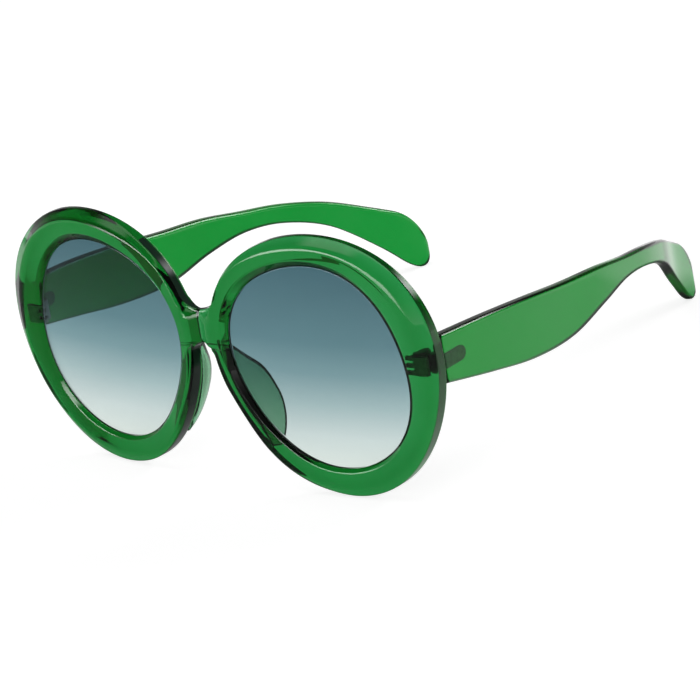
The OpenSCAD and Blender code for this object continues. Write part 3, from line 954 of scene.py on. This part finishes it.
# The floor: levels of its own light for the camera and through the plastic, and places in
# metres across or along, where one level fades into the next
FLOOR_HALF_M = 6.0
FLOOR_DROP_M = 0.00002
FLOOR_GREY = 0.46
FLOOR_CAMERA = 0.82
FLOOR_THROUGH = 0.85
FLOOR_FRONT = 0.1
FLOOR_FAR = 0.8
FLOOR_MIRRORED = 0.6
FRONT_ALONG = (-0.085, -0.070)
FAR_ACROSS = (-0.03, -0.06)
NEAR_ACROSS = (0.075, 0.1)
LENS_ALONG = (-0.07, -0.05)
MIDDLE_ALONG = (0.05, 0.01)
REAR_ALONG = (0.07, 0.1)


def floor_material():
    mat, tree, shader = material("floor")
    shader.inputs["Base Color"].default_value = (FLOOR_GREY, FLOOR_GREY, FLOOR_GREY, 1)
    shader.inputs["Roughness"].default_value = 0.9
    shader.inputs["Specular IOR Level"].default_value = 0.0
    shader.inputs["Emission Color"].default_value = (1, 1, 1, 1)
    rays = tree.nodes.new("ShaderNodeLightPath").outputs
    across, along, _ = coordinates(tree, "Object")
    # Painted light: seen through plastic and lenses the floor glows bright behind the front and on
    # the far side, and dim in front
    behind = maths(tree, "MULTIPLY", fade(tree, along, *FRONT_ALONG), 1 - FLOOR_FRONT)
    behind = maths(tree, "ADD", behind, FLOOR_FRONT)
    far = maths(tree, "MULTIPLY", fade(tree, across, *FAR_ACROSS), FLOOR_FAR)
    through = maths(tree, "MULTIPLY", rays["Is Transmission Ray"],
                    maths(tree, "MAXIMUM", behind, far))
    seen = maths(tree, "MAXIMUM", maths(tree, "MULTIPLY", rays["Is Camera Ray"], FLOOR_CAMERA),
                 maths(tree, "MULTIPLY", through, FLOOR_THROUGH))
    # Painted reflection: in reflections the floor glows bright beside the near temple, between the
    # temples and behind them, and is unlit by its own glow elsewhere
    behind_lens = fade(tree, along, *LENS_ALONG)
    beside = maths(tree, "MULTIPLY", fade(tree, across, *NEAR_ACROSS), behind_lens)
    between = maths(tree, "MULTIPLY", fade(tree, along, *MIDDLE_ALONG), behind_lens)
    bright = maths(tree, "MULTIPLY", maths(tree, "MAXIMUM", beside, between), FLOOR_MIRRORED)
    bright = maths(tree, "MAXIMUM", bright, fade(tree, along, *REAR_ALONG))
    reflected = maths(tree, "SUBTRACT", rays["Is Glossy Ray"], rays["Is Transmission Ray"])
    mirrored = maths(tree, "MULTIPLY", bright, maths(tree, "MAXIMUM", reflected, 0.0))
    tree.links.new(maths(tree, "ADD", seen, mirrored), shader.inputs["Emission Strength"])
    return mat


floor_data = bpy.data.meshes.new("floor")
square = [(-1, -1), (1, -1), (1, 1), (-1, 1)]
floor_data.from_pydata([(x * FLOOR_HALF_M, y * FLOOR_HALF_M, 0) for x, y in square], [],
                       [(0, 1, 2, 3)])
floor = bpy.data.objects.new("floor", floor_data)
floor.location = (0, 0, -FLOOR_DROP_M)
bpy.context.scene.collection.objects.link(floor)
floor_data.materials.append(floor_material())

# The world: a dark studio that is pale near the horizon, with soft boxes, each given by its
# ranges of x, y and z of the direction and its level. Their edges fade over SOFT to each
# side, and BOX_HIDDEN is the share of their light that doesn't show through plastic.
SKY = [(0.0, (0.9, 0.9, 0.9)), (0.1, (0.45, 0.45, 0.45)), (0.25, (0.14, 0.14, 0.14)),
       (0.45, (0.06, 0.06, 0.06)), (1.0, (0.05, 0.05, 0.05))]
BOXES = [((-0.72, 0.17), (-1.0, -0.55), (0.02, 0.30), 8.0),
         ((-0.60, 0.46), (-0.42, 0.12), (0.80, 1.1), 1.2),
         ((0.10, 0.60), (0.55, 0.80), (0.42, 0.66), 8.0),
         ((-0.95, -0.30), (0.35, 1.0), (0.15, 0.55), 0.25)]
SOFT = 0.08
BOX_HIDDEN = 0.9


def soft_box(tree, direction, ranges, level):
    """The level inside a box of directions, and 0 outside it."""
    for value, (start, end) in zip(direction, ranges):
        level = maths(tree, "MULTIPLY", fade(tree, value, start - SOFT, start + SOFT), level)
        level = maths(tree, "MULTIPLY", fade(tree, value, end + SOFT, end - SOFT), level)
    return level


world = bpy.data.worlds.new("world")
world.use_nodes = True
bpy.context.scene.world = world
tree = world.node_tree
direction = coordinates(tree, "Generated")
rays = tree.nodes.new("ShaderNodeLightPath").outputs
boxes = 0.0
for *ranges, level in BOXES:
    boxes = maths(tree, "ADD", soft_box(tree, direction, ranges, level), boxes)
shown = maths(tree, "SUBTRACT", 1.0, maths(tree, "MULTIPLY", rays["Is Transmission Ray"], BOX_HIDDEN))
light = maths(tree, "ADD", ramp(tree, direction["Z"], SKY), maths(tree, "MULTIPLY", boxes, shown))
# The camera sees plain white behind the object
light = maths(tree, "MULTIPLY", light, maths(tree, "SUBTRACT", 1.0, rays["Is Camera Ray"]))
background = tree.nodes["Background"]
background.inputs["Color"].default_value = (1, 1, 1, 1)
tree.links.new(maths(tree, "ADD", light, rays["Is Camera Ray"]), background.inputs["Strength"])

bpy.context.scene.view_settings.view_transform = "Standard"
